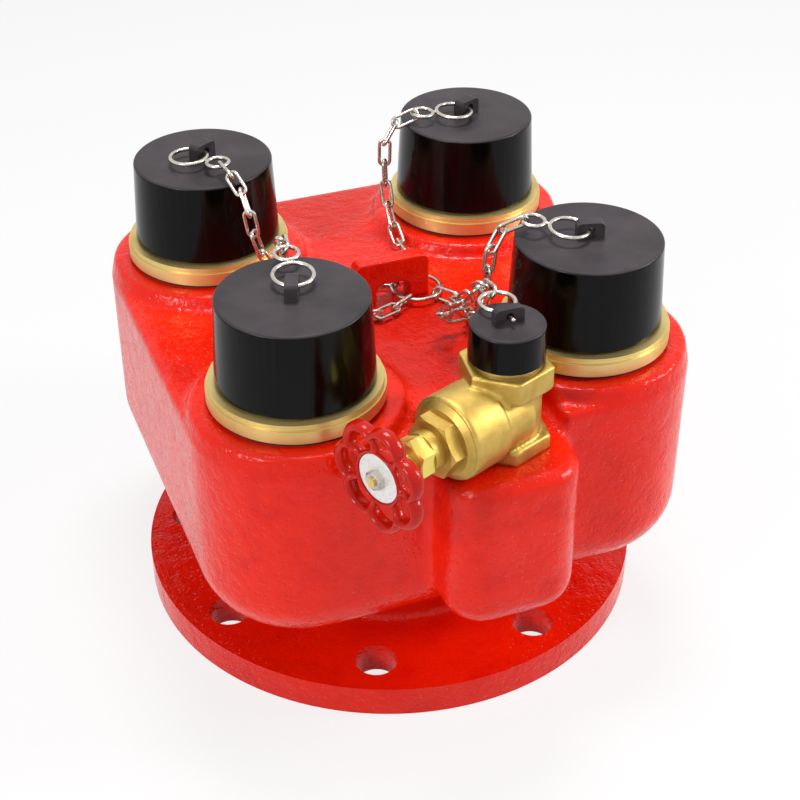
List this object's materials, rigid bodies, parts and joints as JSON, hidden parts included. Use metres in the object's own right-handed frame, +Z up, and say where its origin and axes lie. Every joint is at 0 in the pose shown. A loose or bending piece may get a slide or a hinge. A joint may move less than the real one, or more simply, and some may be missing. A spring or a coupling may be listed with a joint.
{
  "type": "fire department connection",
  "caption": "Flanged four-lobed riser inlet with capped instantaneous hose inlets, cap chains, and a gate drain valve with a lobed handwheel.",
  "frame": {"origin": "centre of the flange's underside", "axes": "+Z up through the riser bore, -Y towards the drain valve's side, +X to the right seen from there"},
  "size_m": [0.285, 0.3318, 0.2477],
  "materials": {
    "red_enamel": "gloss enamel over cast iron",
    "red_paint": "gloss paint over cast iron",
    "machined_brass": "turned",
    "cast_brass": "cast, blasted",
    "dull_brass": "as cast",
    "black_plastic": "moulded",
    "black_rubber": "moulded",
    "grey_packing": "braided",
    "bright_steel": "bright nickel plated wire",
    "pale_aluminium": "anodised"
  },
  "bodies": {
    "inlet_body": {"riser_flange": "red_enamel", "body_casting": "red_enamel", "chain_bridge": "red_enamel", "inlet_gaskets": "black_rubber", "adaptor_a": "machined_brass", "adaptor_b": "machined_brass", "adaptor_c": "machined_brass", "adaptor_d": "machined_brass", "spring_a": "bright_steel", "spring_b": "bright_steel", "spring_c": "bright_steel", "spring_d": "bright_steel", "chain_a": "bright_steel", "chain_b": "bright_steel", "chain_c": "bright_steel", "chain_d": "bright_steel", "bridge_ring": "bright_steel", "drain_valve_body": "cast_brass", "drain_nipple": "machined_brass", "drain_outlet": "machined_brass", "bonnet": "cast_brass", "packing": "grey_packing", "packing_nut": "machined_brass", "drain_chain": "bright_steel"},
    "check_valve_a": {"valve_disc_a": "dull_brass", "disc_seal_a": "black_rubber", "spring_nut_a": "machined_brass"},
    "check_valve_b": {"valve_disc_b": "dull_brass", "disc_seal_b": "black_rubber", "spring_nut_b": "machined_brass"},
    "check_valve_c": {"valve_disc_c": "dull_brass", "disc_seal_c": "black_rubber", "spring_nut_c": "machined_brass"},
    "check_valve_d": {"valve_disc_d": "dull_brass", "disc_seal_d": "black_rubber", "spring_nut_d": "machined_brass"},
    "inlet_cap_a": {"cap_a": "black_plastic", "cap_seal_a": "black_rubber", "hook_a": "bright_steel"},
    "inlet_cap_b": {"cap_b": "black_plastic", "cap_seal_b": "black_rubber", "hook_b": "bright_steel"},
    "inlet_cap_c": {"cap_c": "black_plastic", "cap_seal_c": "black_rubber", "hook_c": "bright_steel"},
    "inlet_cap_d": {"cap_d": "black_plastic", "cap_seal_d": "black_rubber", "hook_d": "bright_steel"},
    "drain_cap": {"drain_cap": "black_plastic", "drain_cap_seal": "black_rubber", "drain_hook": "bright_steel"},
    "handwheel": {"handwheel": "red_paint", "valve_stem": "machined_brass", "name_disc": "pale_aluminium", "wheel_nut": "machined_brass"},
    "gate": {"gate_wedge": "dull_brass"}
  },
  "joints": [
    {"name": "check_opening_a", "type": "slide", "parent": "inlet_body", "child": "check_valve_a", "axis": [0, 0, -1], "range_m": [0, 0.013], "stiffness_N_per_m": 300, "springref_m": -0.012, "deforming": ["spring_a"]},
    {"name": "check_opening_b", "type": "slide", "parent": "inlet_body", "child": "check_valve_b", "axis": [0, 0, -1], "range_m": [0, 0.013], "stiffness_N_per_m": 300, "springref_m": -0.012, "deforming": ["spring_b"]},
    {"name": "check_opening_c", "type": "slide", "parent": "inlet_body", "child": "check_valve_c", "axis": [0, 0, -1], "range_m": [0, 0.013], "stiffness_N_per_m": 300, "springref_m": -0.012, "deforming": ["spring_c"]},
    {"name": "check_opening_d", "type": "slide", "parent": "inlet_body", "child": "check_valve_d", "axis": [0, 0, -1], "range_m": [0, 0.013], "stiffness_N_per_m": 300, "springref_m": -0.012, "deforming": ["spring_d"]},
    {"name": "cap_lift_a", "type": "slide", "parent": "inlet_body", "child": "inlet_cap_a", "axis": [0, 0, 1], "range_m": [0, 0.045], "deforming": ["chain_a"]},
    {"name": "cap_lift_b", "type": "slide", "parent": "inlet_body", "child": "inlet_cap_b", "axis": [0, 0, 1], "range_m": [0, 0.045], "deforming": ["chain_b"]},
    {"name": "cap_lift_c", "type": "slide", "parent": "inlet_body", "child": "inlet_cap_c", "axis": [0, 0, 1], "range_m": [0, 0.045], "deforming": ["chain_c"]},
    {"name": "cap_lift_d", "type": "slide", "parent": "inlet_body", "child": "inlet_cap_d", "axis": [0, 0, 1], "range_m": [0, 0.045], "deforming": ["chain_d"]},
    {"name": "drain_cap_lift", "type": "slide", "parent": "inlet_body", "child": "drain_cap", "axis": [0, 0, 1], "range_m": [0, 0.022], "deforming": ["drain_chain"]},
    {"name": "handwheel_turn", "type": "hinge", "parent": "inlet_body", "child": "handwheel", "pos_m": [0.01, -0.131, 0.185], "axis": [-0.9239, -0.3827, 0], "range_deg": [0, 2640]},
    {"name": "gate_travel", "type": "slide", "parent": "inlet_body", "child": "gate", "axis": [-0.9239, -0.3827, 0], "range_m": [0, 0.0221]}
  ],
  "couplings": [
    {"joint": "gate_travel", "follows": "handwheel_turn", "m_per_rad": 0.00047746}
  ]
}
